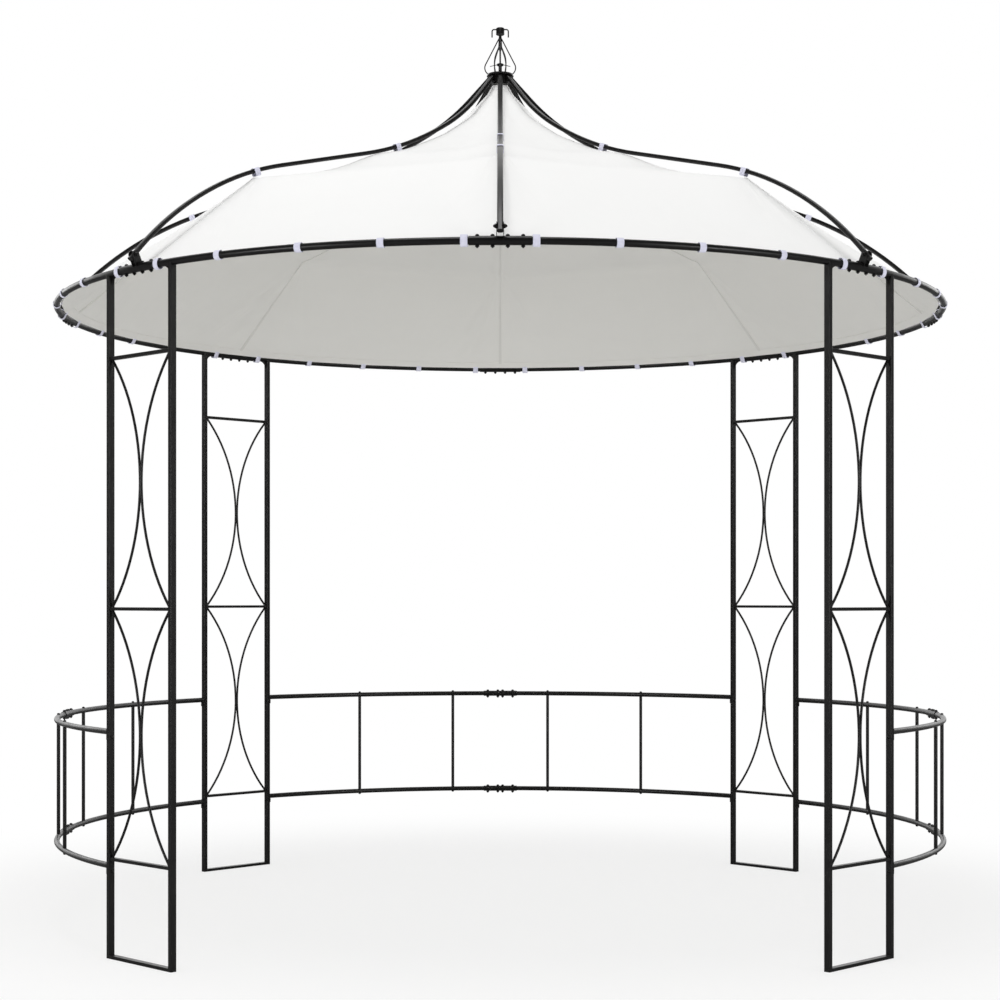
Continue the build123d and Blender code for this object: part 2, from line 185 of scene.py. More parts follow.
class GazeboColours(PropertyGroup):
    """Colours of the finishes."""

    coat: FloatVectorProperty(
        name="Powder coat", description="Frame", subtype="COLOR", default=linear("#0d0c0c"), min=0, max=1
    )
    cloth: FloatVectorProperty(
        name="Cloth", description="Outside of the canopy",
        subtype="COLOR", default=linear("#fafaf9"), min=0, max=1,
    )
    # painted shade: the underside is the same white cloth as the outside, drawn darker for the shade under
    # the canopy
    backing: FloatVectorProperty(
        name="Backing", description="Underside of the canopy, darker as painted shade",
        subtype="COLOR", default=linear("#e5e4e0"), min=0, max=1,
    )
    # painted shade: a seam's doubled cloth is drawn darker for the light it holds back from above and the
    # shade beside its fold
    seam: FloatVectorProperty(
        name="Seam", description="Doubled cloth of a seam from below, darker as painted shade",
        subtype="COLOR", default=linear("#dbdad6"), min=0, max=1,
    )
    webbing: FloatVectorProperty(
        name="Webbing", description="Straps", subtype="COLOR", default=linear("#e0e0f2"), min=0, max=1
    )
    sleeve: FloatVectorProperty(
        name="Sleeves", description="Joint sleeves and forks",
        subtype="COLOR", default=linear("#0b0a0a"), min=0, max=1,
    )
    bolt: FloatVectorProperty(
        name="Bolts", description="Blackened steel", subtype="COLOR", default=linear("#100f0f"), min=0, max=1
    )


def feed(tree, made, values):
    """Sets a node's inputs; a value that is a socket is linked."""
    for key, value in values.items():
        if isinstance(value, bpy.types.NodeSocket):
            tree.links.new(value, made.inputs[key])
        else:
            made.inputs[key].default_value = value


def node(tree, kind, values=None, **settings):
    """Adds a node with its settings and inputs."""
    made = tree.nodes.new(kind)
    for key, value in settings.items():
        setattr(made, key, value)
    feed(tree, made, values or {})
    return made


def new_material(name):
    """Empty node material with its output and shader."""
    material = bpy.data.materials.new(name)
    material.use_nodes = True
    tree = material.node_tree
    tree.nodes.clear()
    shader = node(tree, "ShaderNodeBsdfPrincipled")
    node(tree, "ShaderNodeOutputMaterial", {"Surface": shader.outputs["BSDF"]})
    return material, tree, shader


def shaded(colour, times, plus=0.0):
    """Darker or paler form of a colour."""
    return tuple(min(1.0, c * times + plus) for c in colour)


def blend(tree, factor, first, second):
    """Colour between two others."""
    values = {0: factor, 6: (*first, 1), 7: (*second, 1)}
    return node(tree, "ShaderNodeMix", values, data_type="RGBA").outputs[2]


def noise(tree, place, scale, detail):
    """Cloudy pattern, from 0 to 1."""
    values = {"Vector": place, "Scale": scale, "Detail": detail}
    return node(tree, "ShaderNodeTexNoise", values).outputs["Fac"]


def threads(tree, place, direction, scale, distortion):
    """Pattern of parallel threads, from 0 to 1."""
    values = {"Vector": place, "Scale": scale, "Distortion": distortion, "Detail": 1.0}
    wave = node(tree, "ShaderNodeTexWave", values, wave_type="BANDS", bands_direction=direction)
    return wave.outputs["Fac"]


def bump(tree, height, strength, distance, **under):
    """Normal of a pattern in relief; Normal= is the relief under it."""
    values = {"Height": height, "Strength": strength, "Distance": distance, **under}
    return node(tree, "ShaderNodeBump", values).outputs["Normal"]


def powder_coat(name, colour):
    """Baked polyester powder on steel tube: satin, with fine orange peel and paler rubbed spots."""
    material, tree, shader = new_material(name)
    place = node(tree, "ShaderNodeTexCoord").outputs["Object"]
    # rubbed and dusty patches about 60 mm across
    patches = noise(tree, place, scale=17.0, detail=2.0)
    # grit of the powder, real size about 0.3 mm, drawn at 1.5 mm so that it shows
    grit = noise(tree, place, scale=670.0, detail=2.0)
    rough = node(
        tree, "ShaderNodeMapRange",
        {"Value": patches, "From Min": 0.3, "From Max": 0.7, "To Min": 0.32, "To Max": 0.40},
    )
    feed(tree, shader, {
        "Base Color": blend(tree, patches, colour, shaded(colour, times=1.4, plus=0.001)),
        "Roughness": rough.outputs["Result"],
        "Normal": bump(tree, grit, strength=0.08, distance=0.0004),
        "Specular IOR Level": 0.42,
    })
    return material


def coated_cloth(name, colour, dull):
    """Woven polyester with a thin coating: matt, with a plain weave and soft creases."""
    material, tree, shader = new_material(name)
    place = node(tree, "ShaderNodeTexCoord").outputs["UV"]
    # threads are really 0.4 mm apart, drawn at 3 mm so that the weave shows
    warp, weft = (threads(tree, place, direction, scale=100.0, distortion=0.4) for direction in "XY")
    weave = node(tree, "ShaderNodeMath", {0: warp, 1: weft}, operation="ADD").outputs["Value"]
    # clouding of the coating, about 120 mm across
    cloud = noise(tree, place, scale=8.0, detail=3.0)
    # soft pulled creases, about 110 mm across and three times as long down the gore
    drawn = node(tree, "ShaderNodeMapping", {"Vector": place, "Scale": (1.0, 0.33, 1.0)})
    creases = noise(tree, drawn.outputs["Vector"], scale=9.0, detail=2.0)
    pulled = bump(tree, creases, strength=0.5, distance=0.012)
    feed(tree, shader, {
        "Base Color": blend(tree, cloud, shaded(colour, times=dull), colour),
        "Roughness": 0.72,
        "Normal": bump(tree, weave, strength=0.06, distance=0.0006, Normal=pulled),
        "Specular IOR Level": 0.3,
        "Sheen Weight": 0.08,
    })
    return material


def webbing_cloth(colour):
    """Flat woven polyester webbing: ribs across the strap and a soft sheen."""
    material, tree, shader = new_material("Polyester webbing")
    place = node(tree, "ShaderNodeTexCoord").outputs["UV"]
    # ribs 2 mm apart along the strap; the hollows between them are drawn 12% darker, as painted shade
    ribs = threads(tree, place, "X", scale=157.0, distortion=0.3)
    feed(tree, shader, {
        "Base Color": blend(tree, ribs, shaded(colour, times=0.88), colour),
        "Roughness": 0.6,
        "Normal": bump(tree, ribs, strength=0.3, distance=0.0004),
        "Sheen Weight": 0.2,
    })
    return material


def black_bolt(colour):
    """Blackened steel fasteners: dark and half metallic, with paler worn spots."""
    material, tree, shader = new_material("Blackened steel")
    place = node(tree, "ShaderNodeTexCoord").outputs["Object"]
    # worn spots about 4 mm across
    wear = noise(tree, place, scale=240.0, detail=3.0)
    feed(tree, shader, {
        "Base Color": blend(tree, wear, colour, shaded(colour, times=2.4, plus=0.01)),
        "Roughness": 0.36,
        "Normal": bump(tree, wear, strength=0.2, distance=0.0003),
        "Metallic": 0.6,
    })
    return material


def finish_named(name):
    """Material made by the finishes operator."""
    return bpy.data.materials[name]


def keep(mesh, name, *materials):
    """New object at the origin with a mesh and its materials."""
    for material in materials:
        if material.name not in mesh.materials:
            mesh.materials.append(material)
    made = bpy.data.objects.new(name, mesh)
    bpy.context.scene.collection.objects.link(made)
    return made


def drop(made):
    """Removes a helper object and its data."""
    data = made.data
    bpy.data.objects.remove(made)
    if isinstance(data, bpy.types.Mesh):
        bpy.data.meshes.remove(data)


def as_mesh(shape, name):
    """New mesh from a bmesh, which is used up."""
    mesh = bpy.data.meshes.new(name)
    shape.to_mesh(mesh)
    shape.free()
    return mesh


def turned(profile, sides, name):
    """Closed lathe shape about Z from radius and height pairs that start and end on the axis."""
    shape = bmesh.new()
    rings = []
    for radius, height in profile:
        if radius == 0:
            rings.append([shape.verts.new((0, 0, height))])
        else:
            turns = [2 * math.pi * i / sides for i in range(sides)]
            rings.append([
                shape.verts.new((radius * math.cos(turn), radius * math.sin(turn), height)) for turn in turns
            ])
    for low, high in zip(rings, rings[1:]):
        for i in range(sides):
            j = (i + 1) % sides
            corners = [low[i % len(low)], low[j % len(low)], high[j % len(high)], high[i % len(high)]]
            unique = list(dict.fromkeys(corners))
            if len(unique) > 2:
                shape.faces.new(unique)
    bmesh.ops.recalc_face_normals(shape, faces=shape.faces)
    return as_mesh(shape, name)


def join_meshes(parts, name):
    """One mesh from (mesh, matrix) pairs; the given meshes are used up."""
    shape = bmesh.new()
    for mesh, matrix in parts:
        first = len(shape.verts)
        shape.from_mesh(mesh)
        shape.verts.ensure_lookup_table()
        for vertex in shape.verts[first:]:
            vertex.co = matrix @ vertex.co
    mesh = as_mesh(shape, name)
    for used in {part[0].name: part[0] for part in parts}.values():
        bpy.data.meshes.remove(used)
    return mesh


def new_tree(name, sockets, result):
    """Empty Geometry Nodes tree with its sockets, and what its input node gives."""
    tree = bpy.data.node_groups.new(name, "GeometryNodeTree")
    for label, kind in sockets.items():
        tree.interface.new_socket(label, in_out="INPUT", socket_type=kind)
    tree.interface.new_socket(result, in_out="OUTPUT", socket_type="NodeSocketGeometry")
    return tree, node(tree, "NodeGroupInput").outputs


def put_on_points(tree, given, points, rotation, result):
    """Ends a tree: the given piece on every point, made real, with the given finish."""
    piece = node(tree, "GeometryNodeObjectInfo", {"Object": given["Piece"]})
    spread = node(
        tree, "GeometryNodeInstanceOnPoints",
        {"Points": points, "Instance": piece.outputs["Geometry"], "Rotation": rotation},
    )
    real = node(tree, "GeometryNodeRealizeInstances", {"Geometry": spread.outputs["Instances"]})
    finish = node(
        tree, "GeometryNodeSetMaterial",
        {"Geometry": real.outputs["Geometry"], "Material": given["Finish"]},
    )
    node(tree, "NodeGroupOutput", {result: finish.outputs["Geometry"]})
    return tree


def set_out_tree():
    """Geometry Nodes tree that puts one piece on every place, turned as the place says."""
    sockets = {"Places": "NodeSocketGeometry", "Piece": "NodeSocketObject", "Finish": "NodeSocketMaterial"}
    tree, given = new_tree("Set out pieces", sockets, "Pieces")
    turn = node(tree, "GeometryNodeInputNamedAttribute", {"Name": "turn"}, data_type="FLOAT_VECTOR")
    rotation = node(tree, "FunctionNodeEulerToRotation", {"Euler": turn.outputs["Attribute"]})
    return put_on_points(tree, given, given["Places"], rotation.outputs["Rotation"], "Pieces")


def stitch_tree():
    """Geometry Nodes tree that lays one stitch at every pitch along the seam lines."""
    sockets = {
        "Seams": "NodeSocketGeometry", "Piece": "NodeSocketObject", "Finish": "NodeSocketMaterial",
        "Pitch": "NodeSocketFloat",
    }
    tree, given = new_tree("Stitches along seams", sockets, "Stitches")
    line = node(tree, "GeometryNodeMeshToCurve", {"Mesh": given["Seams"]})
    even = node(
        tree, "GeometryNodeResampleCurve", {"Curve": line.outputs["Curve"], "Length": given["Pitch"]},
        mode="LENGTH",
    )
    along = node(tree, "GeometryNodeInputTangent").outputs["Tangent"]
    facing = node(tree, "FunctionNodeAlignRotationToVector", {"Vector": along}, axis="X")
    return put_on_points(tree, given, even.outputs["Curve"], facing.outputs["Rotation"], "Stitches")


def grow(base, tree, name, inputs):
    """Runs a tree on a base mesh and keeps the result as a plain object."""
    carrier = keep(base, name + "_places")
    modifier = carrier.modifiers.new("Grow", "NODES")
    modifier.node_group = tree
    for item in tree.interface.items_tree:
        if item.item_type == "SOCKET" and item.in_out == "INPUT" and item.name in inputs:
            modifier[item.identifier] = inputs[item.name]
    bpy.context.view_layer.update()
    evaluated = carrier.evaluated_get(bpy.context.evaluated_depsgraph_get())
    mesh = bpy.data.meshes.new_from_object(evaluated)
    carrier.modifiers.clear()
    drop(carrier)
    if not mesh.polygons:
        raise RuntimeError(f"{name} came out empty")
    return keep(mesh, name)


def set_out(template, places, name, finish):
    """Copies of a template mesh on a list of place matrices, as one object that rides on the frame."""
    base = bpy.data.meshes.new(name)
    base.from_pydata([m.to_translation() for m in places], [], [])
    turn = base.attributes.new("turn", "FLOAT_VECTOR", "POINT")
    for i, matrix in enumerate(places):
        turn.data[i].vector = matrix.to_euler()
    tree = bpy.data.node_groups.get("Set out pieces") or set_out_tree()
    source = keep(template, name + "_one")
    made = grow(base, tree, name, {"Piece": source, "Finish": finish})
    drop(source)
    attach(made, "root")
    return made


def round_axis(angle):
    """Turn about the gazebo's axis, from the entrance towards +X."""
    return Matrix.Rotation(angle, 4, "Z")


def at_bay(bay, radius, height, turn=0.0):
    """Place at a bay's joint, or turned on from it, facing out."""
    return round_axis(math.radians(BAY_DEGREES * bay) + turn) @ Matrix.Translation((0, -radius, height))


def smooth(mesh, angle=math.radians(40)):
    """Shades a mesh smooth, with sharp edges kept past an angle."""
    mesh.shade_smooth()
    mesh.set_sharp_from_angle(angle=angle)
    return mesh


def along_ridge(points, count):
    """Even points along a smooth line through the given ones."""
    steps = 12  # between two given points
    found = []
    for i in range(len(points) - 1):
        before = Vector(points[max(i - 1, 0)])
        start, end = Vector(points[i]), Vector(points[i + 1])
        after = Vector(points[min(i + 2, len(points) - 1)])
        for k in range(steps):
            t = k / steps
            slope_a, slope_b = (end - before) / 2, (after - start) / 2
            h = (2 * t**3 - 3 * t**2 + 1, t**3 - 2 * t**2 + t, 3 * t**2 - 2 * t**3, t**3 - t**2)
            found.append(h[0] * start + h[1] * slope_a + h[2] * end + h[3] * slope_b)
    found.append(Vector(points[-1]))
    lengths = [0.0]
    for a, b in zip(found, found[1:]):
        lengths.append(lengths[-1] + (b - a).length)
    even = []
    for k in range(count):
        want = lengths[-1] * k / (count - 1)
        i = max(j for j in range(len(found) - 1) if lengths[j] <= want + 1e-9)
        share = (want - lengths[i]) / (lengths[i + 1] - lengths[i])
        even.append(found[i].lerp(found[i + 1], share))
    return even


class CanopyShape:
    """Places on the canopy by row, from the hub to the hem, and by angle."""

    apex = 0.035  # part of a gore that a fan takes at its strap
    fold_waves = 66  # folds beside a rib's foot, in radians to the metre
    fold_reach = 0.16  # where they have died away

    def __init__(self, sizes):
        self.rows = along_ridge(UPPER_RIDGE, UPPER_ROWS)
        self.tie = len(self.rows) - 1
        self.rows += along_ridge(LOWER_RIDGE, LOWER_ROWS)[1:]
        self.last = len(self.rows) - 1
        self.sag = sizes.gore_sag
        self.fold = sizes.fold_depth
        self.scallop = sizes.hem_scallop
        self.half = math.pi / BAYS
        self.fan = sizes.fan_share
        self.dip = sizes.fan_dip

    def at(self, row, angle):
        """Point of the cloth. Above the lower straps it runs straight from rib to rib; below them it
        fans out from each strap to the round hem, with a flat facet between two fans."""
        first = min(int(row), self.last - 1)
        radius, height = self.rows[first].lerp(self.rows[first + 1], row - first)
        gore = math.floor(angle / (2 * self.half))
        share = angle / (2 * self.half) - gore
        drop = max(0.0, (row - self.tie) / (self.last - self.tie))
        pull = min(1.0, row / self.tie) ** 3
        if share < self.fan:
            pulled = share * self.apex / self.fan
        elif share > 1 - self.fan:
            pulled = 1 - (1 - share) * self.apex / self.fan
        else:
            pulled = self.apex + (share - self.fan) * (1 - 2 * self.apex) / (1 - 2 * self.fan)
        along = share + (pulled - share) * pull
        tied = self.rows[self.tie].x if drop else radius
        a, b = gore * 2 * self.half, (gore + 1) * 2 * self.half
        x = tied * (math.sin(a) * (1 - along) + math.sin(b) * along)
        y = -tied * (math.cos(a) * (1 - along) + math.cos(b) * along)
        if drop:
            hem = self.rows[-1].x
            turn = BAY_DEGREES * share
            apart = min(abs(turn - tie) for tie in strap_turns(gore))
            hem -= self.scallop * math.sin(math.pi * min(apart / STRAP_STEP, 0.5)) ** 2
            x += (hem * math.sin(angle) - x) * drop
            y += (-hem * math.cos(angle) - y) * drop
        hollow = math.sin(math.pi * (drop if drop else row / self.tie))
        height -= self.sag * hollow * math.sin(math.pi * along) ** 2
        if drop:
            valley = math.pi * min(share, 1 - share, 2 * self.fan) / (2 * self.fan)
            height -= self.dip * hollow * math.sin(valley) ** 2
            beside = min(share, 1 - share) * 2 * self.half * self.rows[-1].x
            fading = math.exp(-((beside / self.fold_reach) ** 2))
            height += self.fold * hollow * math.cos(beside * self.fold_waves) * fading
        return Vector((x, y, height))

    def raised(self, row, angle, lift):
        """Point at a distance from the outside of the cloth."""
        step, turn = 0.5, 0.002  # rows and radians to either side
        down = self.at(min(row + step, self.last), angle) - self.at(max(row - step, 0), angle)
        across = self.at(row, angle + turn) - self.at(row, angle - turn)
        return self.at(row, angle) + across.cross(down).normalized() * -lift

    def row_at(self, radius):
        """Row whose ridge has a radius."""
        for row in range(self.last):
            near, far = self.rows[row].x, self.rows[row + 1].x
            if near <= radius <= far:
                return row + (radius - near) / (far - near)
        raise ValueError(f"no ridge at {radius}")

    def plate(self, lines, layer, name, ring=False):
        """Thin piece that follows the cloth over lines of (row, angle) places, as one sewn layer."""
        low, high = layer
        shape = bmesh.new()
        uv = shape.loops.layers.uv.new("Cloth")
        under = [[shape.verts.new(self.raised(*spot, low)) for spot in line] for line in lines]
        over = [[shape.verts.new(self.raised(*spot, high)) for spot in line] for line in lines]
        count, width = len(lines), len(lines[0])
        for i in range(count if ring else count - 1):
            a, b = i, (i + 1) % count
            for k in range(width - 1):
                shape.faces.new((over[a][k], over[a][k + 1], over[b][k + 1], over[b][k]))
                shape.faces.new((under[a][k], under[b][k], under[b][k + 1], under[a][k + 1]))
            for k in (0, width - 1):
                shape.faces.new((under[a][k], under[b][k], over[b][k], over[a][k]))
        if not ring:
            for i in (0, count - 1):
                for k in range(width - 1):
                    shape.faces.new((under[i][k], under[i][k + 1], over[i][k + 1], over[i][k]))
        bmesh.ops.recalc_face_normals(shape, faces=shape.faces)
        for face in shape.faces:
            for loop in face.loops:
                loop[uv].uv = (loop.vert.co.x + loop.vert.co.z, loop.vert.co.y)
        return as_mesh(shape, name)

    def seam_lines(self):
        """Places of the stitch rows: beside each ridge, round the crown and round the hem."""
        rows = []
        for bay in range(BAYS):
            for side in SEAM_STITCHES:
                rows.append([
                    (row, bay * 2 * self.half + side / self.rows[int(row)].x) for row in range(1, self.last)
                ])
        for row in (*(self.last - up for up in HEM_STITCHES), CROWN_STITCH):
            rows.append([(row, 2 * math.pi * k / AROUND) for k in range(AROUND + 1)])
        return rows


class GAZEBO_OT_finishes(Operator):
    """Makes the finishes and coats the steel frame"""

    bl_idname = "gazebo.finishes"
    bl_label = "Finishes"

    def execute(self, context):
        colours = context.scene.gazebo_colours
        coat = powder_coat("Powder coated steel", tuple(colours.coat))
        sleeve = powder_coat("Powder coated sleeve", tuple(colours.sleeve))
        coated_cloth("Coated polyester", tuple(colours.cloth), dull=0.985)
        # the backing is the outside's cloth drawn darker, as painted shade on the underside
        coated_cloth("Coated polyester backing in painted shade", tuple(colours.backing), dull=0.97)
        # the doubled cloth is drawn darker still, as painted shade at the seams
        coated_cloth("Doubled polyester in painted shade", tuple(colours.seam), dull=0.96)
        webbing_cloth(tuple(colours.webbing))
        black_bolt(tuple(colours.bolt))
        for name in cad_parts:
            if name == "canopy":
                continue
            steel = bpy.data.objects[name]
            for slot in steel.material_slots:
                slot.material = sleeve if "_joint" in name else coat
        return {"FINISHED"}


class GAZEBO_OT_canopy(Operator):
    """Builds the cloth canopy with its hem, seams, patches and stitching"""

    bl_idname = "gazebo.canopy"
    bl_label = "Canopy"

    def execute(self, context):
        sizes = context.scene.gazebo_sizes
        shape = CanopyShape(sizes)
        cloth, area = self.cloth(shape, sizes)
        # inside is the backing, drawn darker as painted shade; the hem's fold takes it too
        outside, inside = finish_named("Coated polyester"), finish_named("Coated polyester backing in painted shade")
        last, half = shape.last, shape.half
        around = [2 * math.pi * k / AROUND for k in range(AROUND)]
        hem = [[(last - up, a) for up in HEM_ROWS] for a in around]
        crown = [[(row, a) for row in CROWN_ROWS] for a in around[::2]]
        pieces = [
            keep(shape.plate(lines, layer, name, ring=True), name, finish)
            for name, lines, layer, finish in (
                ("canopy_hem", hem, HEM_LAYER, outside),
                ("canopy_hem_fold", hem, HEM_FOLD_LAYER, inside),
                ("canopy_crown", crown, CROWN_LAYER, outside),
            )
        ]
        welts, patches = [], []
        for bay in range(BAYS):
            ridge = bay * 2 * half
            lines = [
                [(row, ridge + side / shape.rows[row].x) for side in WELT_SIDES] for row in range(1, last)
            ]
            welts.append((shape.plate(lines, WELT_LAYER, "welt"), STILL))
            for radius, _, _ in RIB_STRAPS:
                middle = shape.row_at(radius)
                lines = [
                    [(middle + step, ridge + side / radius) for side in PATCH_SIDES] for step in PATCH_STEPS
                ]
                patches.append((shape.plate(lines, PATCH_LAYER, "patch"), STILL))
        # the welts take the darker doubled cloth, painted shade of the seams seen from below
        doubled = finish_named("Doubled polyester in painted shade")
        pieces.append(keep(join_meshes(welts, "canopy_seams"), "canopy_seams", doubled))
        pieces.append(keep(join_meshes(patches, "canopy_patches"), "canopy_patches", outside))
        pieces.append(self.stitches(shape, sizes, outside))
        for piece in pieces:
            smooth(piece.data, math.radians(35))
            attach(piece, "root")
        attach(cloth, "root")
        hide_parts("canopy")
        return {"FINISHED"}

    def cloth(self, shape, sizes):
        """The cloth itself, outside and backing, and its area."""
        skin = bmesh.new()
        uv = skin.loops.layers.uv.new("Cloth")
        grid = [
            [skin.verts.new(shape.at(row, 2 * math.pi * k / AROUND)) for k in range(AROUND)]
            for row in range(shape.last + 1)
        ]
        for row in range(shape.last):
            for k in range(AROUND):
                j = (k + 1) % AROUND
                face = skin.faces.new((grid[row][k], grid[row + 1][k], grid[row + 1][j], grid[row][j]))
                gore = BAYS * k // AROUND
                for loop, turn, level in zip(face.loops, (k, k, k + 1, k + 1), (row, row + 1, row + 1, row)):
                    width = shape.rows[level].x * math.pi / 4
                    across = (turn * BAYS / AROUND - gore - 0.5) * width
                    loop[uv].uv = (gore * GORE_STEP + across, level * PATTERN_RUN / shape.last)
        mesh = as_mesh(skin, "canopy_cloth")
        area = sum(face.area for face in mesh.polygons)
        # the inside face of the wall takes the backing, drawn darker as painted shade
        cloth = keep(
            smooth(mesh, math.radians(60)), "canopy_cloth",
            finish_named("Coated polyester"), finish_named("Coated polyester backing in painted shade"),
        )
        wall = cloth.modifiers.new("Cloth", "SOLIDIFY")
        wall.thickness = sizes.cloth_thickness
        wall.offset = -1
        wall.material_offset = 1
        return cloth, area

    def stitches(self, shape, sizes, finish):
        """Rows of thread that stand a little proud of both faces of the cloth."""
        base = bmesh.new()
        for line in shape.seam_lines():
            points = [base.verts.new(shape.raised(*spot, -sizes.cloth_thickness / 2)) for spot in line]
            for a, b in zip(points, points[1:]):
                base.edges.new((a, b))
        mesh = as_mesh(base, "seam_lines")
        thread = turned(((0, -0.0030), (0.0010, -0.0022), (0.0010, 0.0022), (0, 0.0030)), 5, "stitch")
        thread.transform(Matrix.Rotation(math.pi / 2, 4, "Y"))
        source = keep(thread, "stitch_one")
        made = grow(
            mesh, stitch_tree(), "canopy_stitches",
            {"Piece": source, "Finish": finish, "Pitch": sizes.stitch_pitch},
        )
        drop(source)
        return made


class GAZEBO_OT_straps(Operator):
    """Ties the cloth to the ring and to the ribs with webbing"""

    bl_idname = "gazebo.straps"
    bl_label = "Straps"

    def execute(self, context):
        sizes = context.scene.gazebo_sizes
        finish = finish_named("Polyester webbing")
        hem = Vector(LOWER_RIDGE[-1])
        centre = Vector((sizes.ring_radius, sizes.ring_height))
        # the two straps beside a joint hang loose, the three between them sit close to the tube
        for name, tall, chosen in (
            ("ring_straps_loose", 0.0164, (0, 4)),
            ("ring_straps_close", 0.0132, (1, 2, 3)),
        ):
            path = [hem + Vector(spot) for spot in STRAP_LEAD]
            for k in range(LOOP_STEPS + 1):
                angle = math.radians(LOOP_START - LOOP_SWEEP * k / LOOP_STEPS)
                path.append(centre + Vector((LOOP_HALF_WIDTH * math.cos(angle), tall * math.sin(angle))))
            path.append(hem + Vector(STRAP_TAIL))
            strap = self.band(path, sizes.strap_width, sizes.strap_thickness, False, name)
            places = [
                round_axis(math.radians(BAY_DEGREES * bay + strap_turns(bay)[i]))
                for bay in range(BAYS) for i in chosen
            ]
            set_out(strap, places, name, finish)
        # a rib strap's loop from the middle of the rib, down to under the cloth
        wide, high, low, corner, steps = 0.0098, 0.0078, -0.0166, 0.004, 4
        loop = []
        for cx, cz, start in (
            (wide - corner, high - corner, 0), (corner - wide, high - corner, 90),
            (corner - wide, low + corner, 180), (wide - corner, low + corner, 270),
        ):
            for k in range(steps + 1):
                angle = math.radians(start + 90 * k / steps)
                loop.append(Vector((cx + corner * math.cos(angle), cz + corner * math.sin(angle))))
        rib_strap = self.band(loop, sizes.strap_width, sizes.strap_thickness, True, "rib_strap")
        places = []
        for bay in range(BAYS):
            for radius, height, fall in RIB_STRAPS:
                lean = Matrix.Rotation(math.radians(fall), 4, "X")
                places.append(at_bay(bay, radius, height) @ lean)
        ties = set_out(rib_strap, places, "rib_straps", finish)
        return {"FINISHED"}

    def band(self, path, width, thickness, closed, name):
        """Flat webbing along a path: a loop across X and Z, or an open run in front of the axis."""
        shape = bmesh.new()
        uv = shape.loops.layers.uv.new("Strap")
        count = len(path)
        normals = []
        for i in range(count):
            before = path[(i - 1) % count] if closed else path[max(i - 1, 0)]
            after = path[(i + 1) % count] if closed else path[min(i + 1, count - 1)]
            ahead = (after - before).normalized()
            normals.append(Vector((ahead.y, -ahead.x)))
        half, face, edge = width / 2, thickness / 2, thickness * 0.35
        section = (
            (-half, edge - face), (edge - half, -face), (half - edge, -face), (half, edge - face),
            (half, face - edge), (half - edge, face), (edge - half, face), (-half, face - edge),
        )
        rings = []
        length = 0.0
        lengths = []
        for i, point in enumerate(path):
            if i:
                length += (point - path[i - 1]).length
            lengths.append(length)
            ring = []
            for side, depth in section:
                spot = point + normals[i] * depth
                ring.append(shape.verts.new((spot.x, side, spot.y) if closed else (side, -spot.x, spot.y)))
            rings.append(ring)
        pairs = list(zip(range(count), range(1, count)))
        if closed:
            pairs.append((count - 1, 0))
        for a, b in pairs:
            end = lengths[b] if b else length + (path[0] - path[-1]).length
            for k in range(len(section)):
                j = (k + 1) % len(section)
                made = shape.faces.new((rings[a][k], rings[a][j], rings[b][j], rings[b][k]))
                for loop, along, side in zip(
                    made.loops, (lengths[a], lengths[a], end, end),
                    (section[k][0], section[j][0], section[j][0], section[k][0]),
                ):
                    loop[uv].uv = (along, side)
        if not closed:
            shape.faces.new(rings[0])
            shape.faces.new(rings[-1])
        bmesh.ops.recalc_face_normals(shape, faces=shape.faces)
        return smooth(as_mesh(shape, name), math.radians(50))


